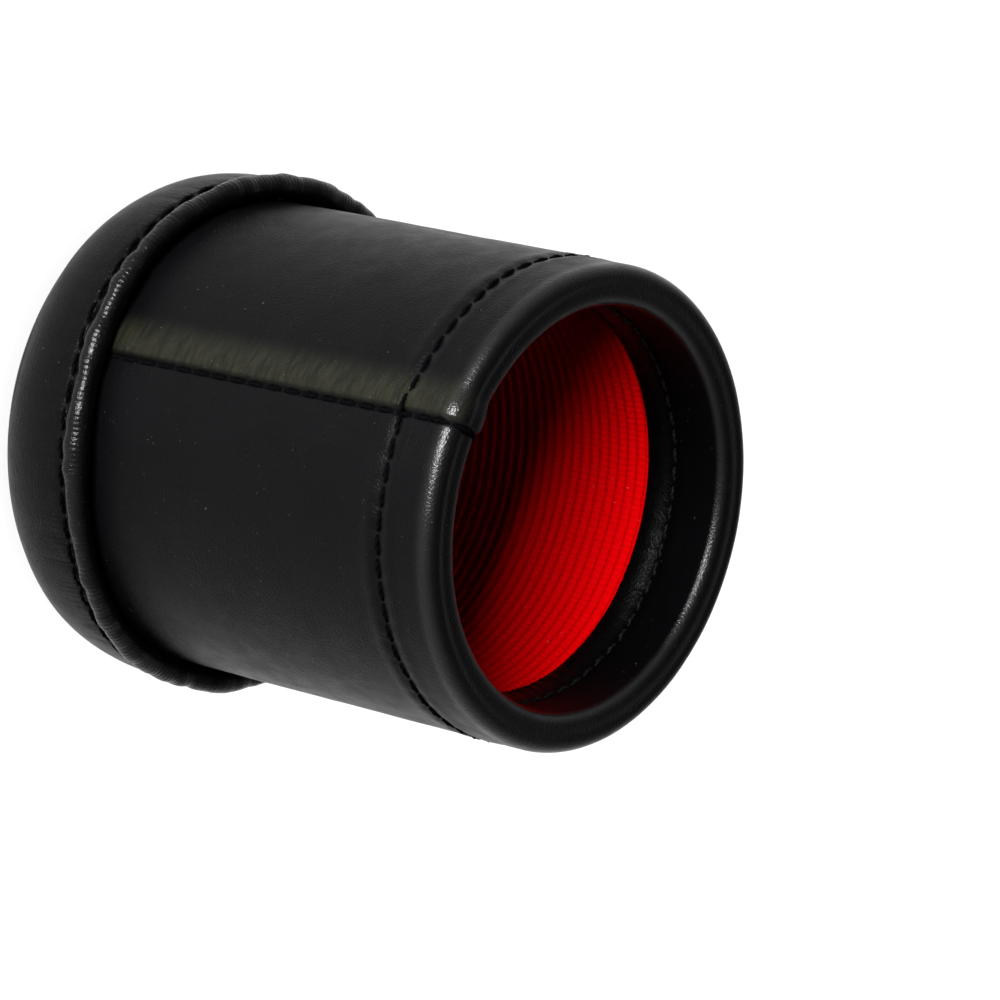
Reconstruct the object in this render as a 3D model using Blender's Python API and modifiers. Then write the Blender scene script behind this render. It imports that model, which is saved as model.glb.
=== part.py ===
# A leather dice cup: a board tube dressed in black leather, lined with ribbed red cloth,
# with a stuffed leather boot round its foot. Units are metres, +Z runs from the foot to
# the mouth, the origin is the centre of the face that the cup stands on, and the side
# seam of the leather faces -Y. Every neighbour keeps FIT_GAP, where the real one is glued.

import math

import bmesh
import bpy
from mathutils import Matrix, Vector

MM = 0.001

# Driving dimensions
HEIGHT = 102.0 * MM
BODY_RADIUS = 41.25 * MM
MOUTH_RADIUS = 34.3 * MM
BOOT_RADIUS = 45.0 * MM
BEAD_REACH = 45.95 * MM  # outermost point of the rolled edge of the boot
FIT_GAP = 0.3 * MM

# Body leather
LEATHER = 1.2 * MM
WRAP_FOOT = 13.0 * MM  # lower edge, hidden in the boot
RIM_LEATHER = 1.5 * MM  # thickness over the rim, where the corners are filled
RIM_OUTER_ROUND = 3.0 * MM
RIM_INNER_ROUND = 2.4 * MM
TURN_IN_DEPTH = 16.6 * MM
LAP_RISE = 0.6 * MM  # where one edge of the leather laps over the other
LAP_WIDTH = 6.0 * MM
LAP_FOOT = 25.8 * MM
LAP_SINK = 0.5 * MM  # how far the lap's own solid reaches into the leather under it

# Boards and lining
TUBE_WALL = 2.4 * MM
TUBE_FOOT = 9.0 * MM
FLOOR_BOARD = 3.0 * MM
LINING = 1.15 * MM

# Boot
BOOT_LEATHER = 1.3 * MM
BOOT_SHOULDER = 18.7 * MM  # height at which the side starts to round under
BOOT_ROUND_REACH = 13.0 * MM  # how far the rounding comes in from the side
BOOT_TURN_UNDER = 24.0 * MM  # radius at which the turned-under leather ends
BEAD_HEIGHT = 24.0 * MM
BEAD_ROUND = 2.1 * MM
BEAD_END_ANGLE = -50  # degrees, where the bead runs into the stitched pinch
PINCH_HEIGHT = 21.0 * MM
PINCH_DEPTH = 0.45 * MM  # how far the stitches pull the leather in
HEM_LEATHER = 1.1 * MM
HEM_FOOT = 18.0 * MM
SOLE_THICKNESS = 1.3 * MM
SOLE_RADIUS = 30.5 * MM
SOLE_EDGE = 0.4 * MM

# Stitching
THREAD_RADIUS = 0.28 * MM
HOLE_PINCH = 0.5  # of its radius that the thread keeps where it enters the leather
RIM_STITCHES = 64
RIM_STITCH_HEIGHT = 91.0 * MM
BOOT_STITCHES = 58
SEAM_STITCHES_OVER_RIM = 7  # between the outer and the inner row of the rim
SEAM_THREAD_OFFSET = 0.95 * MM  # beside the step of the lap
SEAM_THREAD_FOOT = 28.0 * MM

TURN_SEGMENTS = 48
ARC_STEPS = 4
BOOT_ROUND_STEPS = 6
SHARP_ANGLE = math.radians(35)
MERGE_DISTANCE = 0.00001
SEAM_ANGLE = math.radians(-90)

# Worked out from the above
TUBE_OUTER = BODY_RADIUS - LEATHER - FIT_GAP
TUBE_INNER = TUBE_OUTER - TUBE_WALL
TUBE_TOP = HEIGHT - RIM_LEATHER - FIT_GAP
FLOOR_BOARD_TOP = TUBE_FOOT + FLOOR_BOARD
LINING_OUTER = TUBE_INNER - FIT_GAP
LINING_INNER = LINING_OUTER - LINING
LINING_FOOT = FLOOR_BOARD_TOP + FIT_GAP
TURN_IN_FOOT = HEIGHT - TURN_IN_DEPTH
BOOT_UNDERSIDE = SOLE_THICKNESS + FIT_GAP
BOOT_FLAT_RADIUS = BOOT_RADIUS - BOOT_ROUND_REACH
BOOT_ROUND_RISE = BOOT_SHOULDER - BOOT_UNDERSIDE
BEAD_CENTRE = (BEAD_REACH - BEAD_ROUND, BEAD_HEIGHT)
BEAD_HOLLOW = BEAD_ROUND - HEM_LEATHER
HEM_INNER = BODY_RADIUS + FIT_GAP
HEM_OUTER = HEM_INNER + HEM_LEATHER
THREAD_STAND = FIT_GAP + THREAD_RADIUS  # from the leather to the middle of the thread
LAP_ANGLE = SEAM_ANGLE - LAP_WIDTH / 2 / BODY_RADIUS  # the middle of the lap
SEAM_THREAD_ACROSS = LAP_WIDTH / 2 + SEAM_THREAD_OFFSET


def clear_scene():
    for obj in list(bpy.data.objects):
        bpy.data.objects.remove(obj)


def new_collection(name):
    collection = bpy.data.collections.new(name)
    bpy.context.scene.collection.children.link(collection)
    return collection


def make_material(name, colour, roughness):
    material = bpy.data.materials.new(name)
    material.use_nodes = True
    shader = material.node_tree.nodes["Principled BSDF"]
    shader.inputs["Base Color"].default_value = (*colour, 1.0)
    shader.inputs["Roughness"].default_value = roughness
    shader.inputs["Metallic"].default_value = 0.0
    material.diffuse_color = (*colour, 1.0)
    return material


def link_part(name, data, material, collection):
    obj = bpy.data.objects.new(name, data)
    obj.data.materials.append(material)
    collection.objects.link(obj)
    return obj


# Outlines: lists of (radius, height), running down the outer side

def arc(centre, radius, start, end, steps=ARC_STEPS):
    # angles in degrees, 0 outwards and 90 up
    points = []
    for i in range(steps + 1):
        turn = math.radians(start + (end - start) * i / steps)
        points.append((centre[0] + radius * math.cos(turn), centre[1] + radius * math.sin(turn)))
    return points


def boot_round(inset, start, end):
    # the rounding under the boot, moved inwards by inset; 0 degrees at the side, 90 underneath
    points = []
    for i in range(BOOT_ROUND_STEPS + 1):
        turn = math.radians(start + (end - start) * i / BOOT_ROUND_STEPS)
        across, down = math.cos(turn), math.sin(turn)
        normal = Vector((across / BOOT_ROUND_REACH, -down / BOOT_ROUND_RISE)).normalized()
        points.append((
            BOOT_FLAT_RADIUS + BOOT_ROUND_REACH * across - inset * normal.x,
            BOOT_SHOULDER - BOOT_ROUND_RISE * down - inset * normal.y,
        ))
    return points


def rim_face(stand):
    # the outside of the rim, from the outer wall over the top to the mouth's wall
    outer = (BODY_RADIUS - RIM_OUTER_ROUND, HEIGHT - RIM_OUTER_ROUND)
    inner = (MOUTH_RADIUS + RIM_INNER_ROUND, HEIGHT - RIM_INNER_ROUND)
    over = arc(outer, RIM_OUTER_ROUND + stand, 0, 90) + arc(inner, RIM_INNER_ROUND + stand, 90, 180)
    return over


def wrap_outline():
    return rim_face(0)[::-1] + [
        (BODY_RADIUS, WRAP_FOOT),
        (BODY_RADIUS - LEATHER, WRAP_FOOT),
        (BODY_RADIUS - LEATHER, HEIGHT - RIM_LEATHER),
        (MOUTH_RADIUS + LEATHER, HEIGHT - RIM_LEATHER),
        (MOUTH_RADIUS + LEATHER, TURN_IN_FOOT),
        (MOUTH_RADIUS, TURN_IN_FOOT),
    ]


def lap_outline():
    # from the boot's edge up the wall, over the rim and down to the turned-in edge, and back
    # inside the leather that it laps over
    end = TURN_IN_FOOT + FIT_GAP
    inside_top = HEIGHT - RIM_LEATHER + LAP_SINK
    return [(BODY_RADIUS + LAP_RISE, LAP_FOOT)] + rim_face(LAP_RISE) + [
        (MOUTH_RADIUS - LAP_RISE, end),
        (MOUTH_RADIUS + LAP_SINK, end),
        (MOUTH_RADIUS + LAP_SINK, inside_top),
        (BODY_RADIUS - LAP_SINK, inside_top),
        (BODY_RADIUS - LAP_SINK, LAP_FOOT),
    ]


def boot_outline():
    outside = arc(BEAD_CENTRE, BEAD_ROUND, 180, BEAD_END_ANGLE, steps=9)
    outside += [(BOOT_RADIUS - PINCH_DEPTH, PINCH_HEIGHT)]
    outside += boot_round(0, 0, 90)
    underneath = [
        (BOOT_TURN_UNDER, BOOT_UNDERSIDE),
        (BOOT_TURN_UNDER, BOOT_UNDERSIDE + BOOT_LEATHER),
    ]
    inside = boot_round(BOOT_LEATHER, 90, 0)
    inside += [(BOOT_RADIUS - PINCH_DEPTH - BOOT_LEATHER, PINCH_HEIGHT)]
    inside += arc(BEAD_CENTRE, BEAD_HOLLOW, BEAD_END_ANGLE, 180, steps=7)
    hem = [
        (HEM_OUTER, PINCH_HEIGHT),
        (HEM_OUTER, HEM_FOOT),
        (HEM_INNER, HEM_FOOT),
        (HEM_INNER, PINCH_HEIGHT),
    ]
    return outside + underneath + inside + hem


def padding_outline():
    # a soft cup round the foot of the tube, under the boot; both ends lie on the axis
    skin = BOOT_LEATHER + FIT_GAP
    outside = boot_round(skin, 0, 90)
    return [
        (0, TUBE_FOOT - FIT_GAP),
        (TUBE_OUTER + FIT_GAP, TUBE_FOOT - FIT_GAP),
        (TUBE_OUTER + FIT_GAP, WRAP_FOOT - FIT_GAP),
        (HEM_INNER, WRAP_FOOT - FIT_GAP),
        (HEM_INNER, HEM_FOOT - FIT_GAP),
        (BOOT_RADIUS - skin, HEM_FOOT - FIT_GAP),
        *outside[1:],
        (0, BOOT_UNDERSIDE + skin),
    ]


# Ways of making a piece

def smooth_round(obj):
    graph = bpy.context.evaluated_depsgraph_get()
    mesh = bpy.data.meshes.new_from_object(obj.evaluated_get(graph))
    obj.modifiers.clear()
    obj.data = mesh
    mesh.name = obj.name
    mesh.shade_smooth()
    mesh.set_sharp_from_angle(angle=SHARP_ANGLE)


def turned(name, outline, material, collection, closed=True):
    mesh = bpy.data.meshes.new(name)
    points = [(radius, 0, height) for radius, height in outline]
    edges = [(i, i + 1) for i in range(len(points) - 1)]
    if closed:
        edges.append((len(points) - 1, 0))
    mesh.from_pydata(points, edges, [])
    obj = link_part(name, mesh, material, collection)
    screw = obj.modifiers.new("Turn", "SCREW")
    screw.steps = screw.render_steps = TURN_SEGMENTS
    screw.use_merge_vertices = True
    screw.merge_threshold = MERGE_DISTANCE
    return obj


def tube(name, outer, inner, foot, top, material, collection):
    outline = [(outer, top), (outer, foot), (inner, foot), (inner, top)]
    return turned(name, outline, material, collection)


def disc(name, radius, foot, top, material, collection):
    mesh = bpy.data.meshes.new(name)
    shape = bmesh.new()
    bmesh.ops.create_cone(
        shape, cap_ends=True, segments=TURN_SEGMENTS, radius1=radius, radius2=radius,
        depth=top - foot, matrix=Matrix.Translation((0, 0, (top + foot) / 2)),
    )
    shape.to_mesh(mesh)
    shape.free()
    return link_part(name, mesh, material, collection)


def thread(name, places, material, collection, closed=False):
    # one thread through the points along its middle: every other point is a needle hole,
    # where the thread is pulled thin
    curve = bpy.data.curves.new(name, "CURVE")
    curve.dimensions = "3D"
    curve.bevel_depth = THREAD_RADIUS
    curve.bevel_resolution = 0
    curve.use_fill_caps = True
    spline = curve.splines.new("POLY")
    spline.points.add(len(places) - 1)
    for i, place in enumerate(places):
        spline.points[i].co = (*place, 1)
        spline.points[i].radius = 1 if i % 2 else HOLE_PINCH
    spline.use_cyclic_u = closed
    obj = link_part(name, curve, material, collection)
    weld = obj.modifiers.new("Caps", "WELD")
    weld.merge_threshold = MERGE_DISTANCE
    return obj


# Stitches

def lap_plane(radius, across):
    # a point at a radius, and at a distance across from the middle plane of the lap
    out = math.sqrt(radius ** 2 - across ** 2)
    cosine, sine = math.cos(LAP_ANGLE), math.sin(LAP_ANGLE)
    return out * cosine - across * sine, out * sine + across * cosine


def ring_row(count, radius, height, outward=1, crosses_seam=True):
    # a row round the cup, with a hole where it crosses the side seam, which it climbs over
    step = math.tau / count / 2
    first = math.asin(SEAM_THREAD_ACROSS / radius)
    climb_reach = LAP_WIDTH / 2 + step * radius
    places = []
    for i in range(2 * count):
        turn = first + i * step
        beside = abs(radius * math.sin(turn))
        climbs = crosses_seam and beside < climb_reach and math.cos(turn) > 0
        reach = radius + outward * LAP_RISE * climbs
        angle = LAP_ANGLE + turn
        places.append((reach * math.cos(angle), reach * math.sin(angle), height))
    return places


def walk(path, distance):
    # the point at a distance along a path of straight runs
    for start, end in zip(path, path[1:]):
        run = (end - start).length
        if distance <= run:
            return start.lerp(end, distance / run)
        distance -= run
    return path[-1]


def seam_row():
    # up the wall, over the rim and down to the turned-in edge, in step with the rim's rows
    over = [Vector(point) for point in rim_face(THREAD_STAND)]
    outer_row = Vector((over[0].x, RIM_STITCH_HEIGHT))
    inner_row = Vector((over[-1].x, RIM_STITCH_HEIGHT))
    crossing = [outer_row, *over, inner_row]
    length = sum((b - a).length for a, b in zip(crossing, crossing[1:]))
    pitch = length / SEAM_STITCHES_OVER_RIM
    below = int((RIM_STITCH_HEIGHT - SEAM_THREAD_FOOT) / pitch)
    beyond = int((RIM_STITCH_HEIGHT - TURN_IN_FOOT) / pitch)
    start = Vector((over[0].x, RIM_STITCH_HEIGHT - below * pitch))
    finish = Vector((over[-1].x, TURN_IN_FOOT))
    path = [start, *over, finish]
    places = []
    for i in range(2 * (below + SEAM_STITCHES_OVER_RIM + beyond) + 1):
        point = walk(path, i * pitch / 2)
        places.append((*lap_plane(point.x, SEAM_THREAD_ACROSS), point.y))
    return places


# Pieces

def make_body_wrap(material, collection, guides):
    outline = [(radius, 0, height) for radius, height in lap_outline()]
    mesh = bpy.data.meshes.new("lap")
    mesh.from_pydata(outline, [], [range(len(outline))])
    lap = link_part("lap", mesh, material, guides)
    lap.hide_render = True
    lap.display_type = "WIRE"
    solid = lap.modifiers.new("Width", "SOLIDIFY")
    solid.thickness = LAP_WIDTH
    solid.offset = 0
    lap.rotation_euler.z = LAP_ANGLE

    wrap = turned("body_wrap", wrap_outline(), material, collection)
    join = wrap.modifiers.new("Lap", "BOOLEAN")
    join.operation = "UNION"
    join.solver = "EXACT"
    join.object = lap
    return wrap


def make_bottom_disc(material, collection):
    sole = disc("bottom_disc", SOLE_RADIUS, 0, SOLE_THICKNESS, material, collection)
    edge = sole.modifiers.new("Edge", "BEVEL")
    edge.width = SOLE_EDGE
    edge.segments = 2
    return sole


def make_piping_cord(material, collection):
    bpy.ops.mesh.primitive_torus_add(
        major_segments=TURN_SEGMENTS, minor_segments=6,
        major_radius=BEAD_CENTRE[0], minor_radius=BEAD_HOLLOW - FIT_GAP,
        location=(0, 0, BEAD_HEIGHT),
    )
    cord = bpy.context.object
    cord.name = cord.data.name = "piping_cord"
    cord.data.materials.append(material)
    for owner in cord.users_collection:
        owner.objects.unlink(cord)
    collection.objects.link(cord)
    return cord


def build():
    clear_scene()
    cup = new_collection("leather_dice_cup")
    guides = new_collection("guides")

    body_leather = make_material("body_leather", (0.018, 0.018, 0.02), 0.42)
    boot_leather = make_material("boot_leather", (0.02, 0.02, 0.022), 0.45)
    sole_leather = make_material("sole_leather", (0.014, 0.014, 0.015), 0.6)
    red_cloth = make_material("red_ribbed_cloth", (0.55, 0.008, 0.008), 0.85)
    tube_board = make_material("tube_board", (0.36, 0.25, 0.15), 0.9)
    floor_board = make_material("floor_board", (0.4, 0.29, 0.18), 0.9)
    foam = make_material("foam", (0.75, 0.72, 0.62), 0.95)
    cord = make_material("piping_cord", (0.7, 0.68, 0.6), 0.9)
    black_thread = make_material("black_thread", (0.01, 0.01, 0.011), 0.55)

    floor_radius = LINING_INNER - FIT_GAP
    rounded = [
        make_body_wrap(body_leather, cup, guides),
        tube("core_tube", TUBE_OUTER, TUBE_INNER, TUBE_FOOT, TUBE_TOP, tube_board, cup),
        tube("lining_sleeve", LINING_OUTER, LINING_INNER, LINING_FOOT, TUBE_TOP, red_cloth, cup),
        disc("lining_floor", floor_radius, LINING_FOOT, LINING_FOOT + LINING, red_cloth, cup),
        disc("floor_board", LINING_OUTER, TUBE_FOOT, FLOOR_BOARD_TOP, floor_board, cup),
        turned("foot_padding", padding_outline(), foam, cup, closed=False),
        turned("boot_cover", boot_outline(), boot_leather, cup),
        make_piping_cord(cord, cup),
        make_bottom_disc(sole_leather, cup),
    ]
    for obj in rounded:
        smooth_round(obj)

    outer_row = ring_row(RIM_STITCHES, BODY_RADIUS + THREAD_STAND, RIM_STITCH_HEIGHT)
    inner_row = ring_row(RIM_STITCHES, MOUTH_RADIUS - THREAD_STAND, RIM_STITCH_HEIGHT, -1)
    boot_reach = BOOT_RADIUS - PINCH_DEPTH + THREAD_STAND
    boot_row = ring_row(BOOT_STITCHES, boot_reach, PINCH_HEIGHT, crosses_seam=False)
    thread("rim_needle_thread", outer_row, black_thread, cup, closed=True)
    thread("rim_bobbin_thread", inner_row, black_thread, cup, closed=True)
    thread("boot_thread", boot_row, black_thread, cup, closed=True)
    thread("side_seam_thread", seam_row(), black_thread, cup)


build()
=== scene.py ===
# A black leather dice cup, standing on its foot: leather over a board tube, a ribbed red
# lining, and a padded boot sewn round the foot. Everything rides on the one body, root.
import math

import bpy
import numpy as np
from mathutils import Matrix, Vector


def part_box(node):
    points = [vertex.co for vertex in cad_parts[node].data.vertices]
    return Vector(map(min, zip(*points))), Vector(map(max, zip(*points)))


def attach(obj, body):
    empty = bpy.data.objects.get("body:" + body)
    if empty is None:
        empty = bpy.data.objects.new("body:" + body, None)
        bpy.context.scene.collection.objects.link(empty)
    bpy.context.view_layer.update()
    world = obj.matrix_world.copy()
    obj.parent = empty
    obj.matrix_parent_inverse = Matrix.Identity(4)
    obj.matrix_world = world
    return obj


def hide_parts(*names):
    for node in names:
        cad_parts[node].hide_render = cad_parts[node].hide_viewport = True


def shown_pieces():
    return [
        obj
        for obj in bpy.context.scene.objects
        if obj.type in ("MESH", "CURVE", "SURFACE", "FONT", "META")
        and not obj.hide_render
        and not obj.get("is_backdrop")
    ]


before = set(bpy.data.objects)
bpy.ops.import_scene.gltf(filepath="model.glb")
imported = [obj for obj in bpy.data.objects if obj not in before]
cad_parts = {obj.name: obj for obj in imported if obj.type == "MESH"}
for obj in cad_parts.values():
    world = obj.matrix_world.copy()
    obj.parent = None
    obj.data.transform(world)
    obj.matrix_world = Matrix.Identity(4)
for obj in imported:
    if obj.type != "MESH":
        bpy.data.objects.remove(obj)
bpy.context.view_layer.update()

mm = 0.001
fullTurn = 2 * math.pi


# Places that several pieces share, read from the frame

wrapLow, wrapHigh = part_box("body_wrap")
bootLow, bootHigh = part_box("boot_cover")
beadReach = bootHigh.x
bodyRadius = wrapHigh.x
tubeLow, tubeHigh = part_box("core_tube")
liningLow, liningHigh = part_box("lining_sleeve")
floorLow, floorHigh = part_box("lining_floor")
boardLow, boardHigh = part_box("floor_board")
cordLow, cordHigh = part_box("piping_cord")
soleLow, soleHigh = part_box("bottom_disc")
rimRowLow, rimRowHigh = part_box("rim_needle_thread")
bandRowLow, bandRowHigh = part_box("rim_bobbin_thread")
bootRowLow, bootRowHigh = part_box("boot_thread")
seamRowLow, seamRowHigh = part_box("side_seam_thread")


# Small tools for meshes

def smoothStep(low, high, value):
    t = np.clip((value - low) / (high - low), 0, 1)
    return t * t * (3 - 2 * t)


def bellCurve(distance, width):
    return np.exp(-(distance / width) ** 2)


def softNoise(angle, height, seed, size, count=14):
    # a smooth random field on the cup, about -1 to 1, that closes round the turn
    dice = np.random.default_rng(seed)
    turns = dice.integers(1, max(2, int(fullTurn * bodyRadius / size)), count)
    climbs = dice.normal(0, fullTurn / size, count)
    starts = dice.uniform(0, fullTurn, count)
    total = sum(np.cos(t * angle + c * height + s) for t, c, s in zip(turns, climbs, starts))
    return total / math.sqrt(count)


def straight(start, end, step):
    count = max(1, round(math.dist(start, end) / step))
    share = np.arange(count + 1)[:, None] / count
    return np.array(start) + share * (np.array(end) - np.array(start))


def roundArc(centre, radius, fromDeg, toDeg, step, fullness=2.0):
    # angles in degrees, 0 outwards and 90 up; radius may be one number or (across, up), and
    # a fullness above 2 swells the arc toward the corner that it rounds off
    across, up = radius if isinstance(radius, tuple) else (radius, radius)
    count = max(2, round(math.radians(abs(toDeg - fromDeg)) * max(across, up) / step))
    turn = np.radians(np.linspace(fromDeg, toDeg, count + 1))
    cosine, sine = np.cos(turn), np.sin(turn)
    reach = (np.abs(cosine) ** fullness + np.abs(sine) ** fullness) ** (-1 / fullness)
    return np.stack([centre[0] + across * reach * cosine, centre[1] + up * reach * sine], 1)


def flowThrough(points, step):
    # a smooth curve through a few points
    points = np.array(points, float)
    ends = np.vstack([2 * points[0] - points[1], points, 2 * points[-1] - points[-2]])
    out = [points[:1]]
    for a, b, c, d in zip(ends, ends[1:], ends[2:], ends[3:]):
        t = np.arange(1, max(2, round(math.dist(b, c) / step)) + 1)[:, None]
        t = t / t[-1]
        out.append(0.5 * (2 * b + (c - a) * t + (2 * a - 5 * b + 4 * c - d) * t**2
                          + (3 * b - a - 3 * c + d) * t**3))
    return np.vstack(out)


def joinRuns(*runs):
    # joins runs of (radius, height) points into one outline without repeats
    points = np.vstack(runs)
    keep = np.r_[True, np.linalg.norm(np.diff(points, axis=0), axis=1) > 1e-6]
    return points[keep]


def outlineNormals(outline, closed=True):
    # facing right of the way up and left of the way down, which is out of the solid
    if closed:
        ahead, behind = np.roll(outline, -1, 0), np.roll(outline, 1, 0)
    else:
        ahead = np.vstack([outline[1:], outline[-1:]])
        behind = np.vstack([outline[:1], outline[:-1]])
    way = ahead - behind
    normals = np.stack([-way[:, 1], way[:, 0]], 1)
    return normals / np.linalg.norm(normals, axis=1)[:, None]


def meshObject(name, points, faces, masks=None):
    mesh = bpy.data.meshes.new(name)
    mesh.from_pydata(points, [], faces)
    for label, values in (masks or {}).items():
        mesh.attributes.new(label, "FLOAT", "POINT").data.foreach_set(
            "value", np.asarray(values, np.float32).ravel())
    mesh.shade_smooth()
    obj = bpy.data.objects.new(name, mesh)
    bpy.context.scene.collection.objects.link(obj)
    return obj


def unmarked(rows, turn):
    # the mask of a leather piece that has none of that mark
    return 0 * turn


def turnRound(name, outline, angles, relief=None, masks=None, onAxis=False):
    # carries an outline round the axis; relief(outline index grid, angle grid) is how far each
    # point moves along its own normal. onAxis closes both ends of an open outline at the axis.
    normals = outlineNormals(outline, closed=not onAxis)
    rows = np.arange(len(outline))[None, :]
    turn = np.asarray(angles)[:, None]
    lift = relief(rows, turn) if relief else np.zeros((len(angles), len(outline)))
    radius = outline[:, 0] + lift * normals[:, 0]
    height = outline[:, 1] + lift * normals[:, 1]
    points = np.stack([radius * np.cos(turn), radius * np.sin(turn), height], -1).reshape(-1, 3)
    columns, width = len(angles), len(outline)
    i = np.arange(columns)[:, None] * width
    j = ((np.arange(columns) + 1) % columns)[:, None] * width
    a = np.arange(width if not onAxis else width - 1)[None, :]
    b = (a + 1) % width
    faces = np.stack([i + a, i + b, j + b, j + a], -1).reshape(-1, 4).tolist()
    points = points.tolist()
    if onAxis:
        for row, flip in ((0, False), (width - 1, True)):
            middle = len(points)
            points.append((0, 0, outline[row, 1]))
            ring = [c * width + row for c in range(columns)]
            for first, second in zip(ring, ring[1:] + ring[:1]):
                faces.append((second, first, middle) if flip else (first, second, middle))
    spread = {}
    for label, values in (masks or {}).items():
        full = np.broadcast_to(values(rows, turn), (columns, width)).ravel()
        spread[label] = np.r_[full, np.zeros(len(points) - full.size)]
    return meshObject(name, points, faces, spread)


# Small tools for node trees

def putNode(tree, kind, wires=None, **choices):
    node = tree.nodes.new(kind)
    for key, value in choices.items():
        setattr(node, key, value)
    for key, value in (wires or {}).items():
        socket = node.inputs[key]
        if isinstance(value, bpy.types.NodeSocket):
            tree.links.new(value, socket)
        else:
            socket.default_value = value
    return node


def sums(tree, operation, *values):
    return putNode(tree, "ShaderNodeMath", dict(enumerate(values)), operation=operation).outputs[0]


def plus(tree, first, second):
    return sums(tree, "ADD", first, second)


def minus(tree, first, second):
    return sums(tree, "SUBTRACT", first, second)


def times(tree, first, second):
    return sums(tree, "MULTIPLY", first, second)


def startTree(name, sizes):
    # a geometry tree with a geometry way in and out, and one named input for each size
    tree = bpy.data.node_groups.new(name, "GeometryNodeTree")
    tree.interface.new_socket("Geometry", in_out="INPUT", socket_type="NodeSocketGeometry")
    for label, value in sizes.items():
        kind = "NodeSocketInt" if isinstance(value, int) else "NodeSocketFloat"
        if isinstance(value, bpy.types.Material):
            kind = "NodeSocketMaterial"
        tree.interface.new_socket(label, in_out="INPUT", socket_type=kind)
    tree.interface.new_socket("Geometry", in_out="OUTPUT", socket_type="NodeSocketGeometry")
    return tree, putNode(tree, "NodeGroupInput").outputs


def endTree(tree, geometry, material):
    real = putNode(tree, "GeometryNodeRealizeInstances", {0: geometry}).outputs[0]
    dressed = putNode(tree, "GeometryNodeSetMaterial", {"Geometry": real, "Material": material})
    putNode(tree, "NodeGroupOutput", {0: dressed.outputs[0]})


def runTree(obj, tree, sizes):
    # gives the object the tree with these sizes, and leaves it as a plain mesh
    modifier = obj.modifiers.new(tree.name, "NODES")
    modifier.node_group = tree
    for item in tree.interface.items_tree:
        if item.in_out == "INPUT" and item.name in sizes:
            modifier[item.identifier] = sizes[item.name]
    return plainMesh(obj)


def plainMesh(obj):
    graph = bpy.context.evaluated_depsgraph_get()
    made = bpy.data.meshes.new_from_object(obj.evaluated_get(graph))
    obj.modifiers.clear()
    obj.data = made
    made.name = obj.name
    made.shade_smooth()
    return obj


def dress(obj, material, slot, *nodes):
    if not obj.data.materials:
        obj.data.materials.append(material)
    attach(obj, "root")
    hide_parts(*nodes)
    return obj


# Finishes

def startMaterial(name, roughness, specular):
    material = bpy.data.materials.new(name)
    material.use_nodes = True
    tree = material.node_tree
    shader = tree.nodes["Principled BSDF"]
    shader.inputs["Roughness"].default_value = roughness
    shader.inputs["Specular IOR Level"].default_value = specular
    place = putNode(tree, "ShaderNodeTexCoord").outputs["Object"]
    return material, tree, shader, place


def blendColour(tree, factor, first, second):
    mix = putNode(tree, "ShaderNodeMix", {"Factor": factor}, data_type="RGBA")
    colours = [s for s in mix.inputs if s.type == "RGBA"]
    for socket, value in zip(colours, (first, second)):
        if isinstance(value, bpy.types.NodeSocket):
            tree.links.new(value, socket)
        else:
            socket.default_value = (*value, 1)
    return [s for s in mix.outputs if s.type == "RGBA"][0]


def painted(tree, label):
    return putNode(tree, "ShaderNodeAttribute", attribute_name=label).outputs["Fac"]


def noise(tree, place, scale, detail=3, rough=0.55, stretch=None):
    if stretch:
        place = putNode(tree, "ShaderNodeMapping", {"Vector": place, "Scale": stretch}).outputs[0]
    wires = {"Vector": place, "Scale": scale, "Detail": detail, "Roughness": rough}
    return putNode(tree, "ShaderNodeTexNoise", wires).outputs[0]


def remap(tree, value, low, high, toLow, toHigh):
    wires = {0: value, 1: low, 2: high, 3: toLow, 4: toHigh}
    return putNode(tree, "ShaderNodeMapRange", wires).outputs[0]


def bump(tree, height, depth, strength=1.0, below=None):
    wires = {"Height": height, "Distance": depth, "Strength": strength}
    if below:
        wires["Normal"] = below
    return putNode(tree, "ShaderNodeBump", wires).outputs[0]


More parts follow.
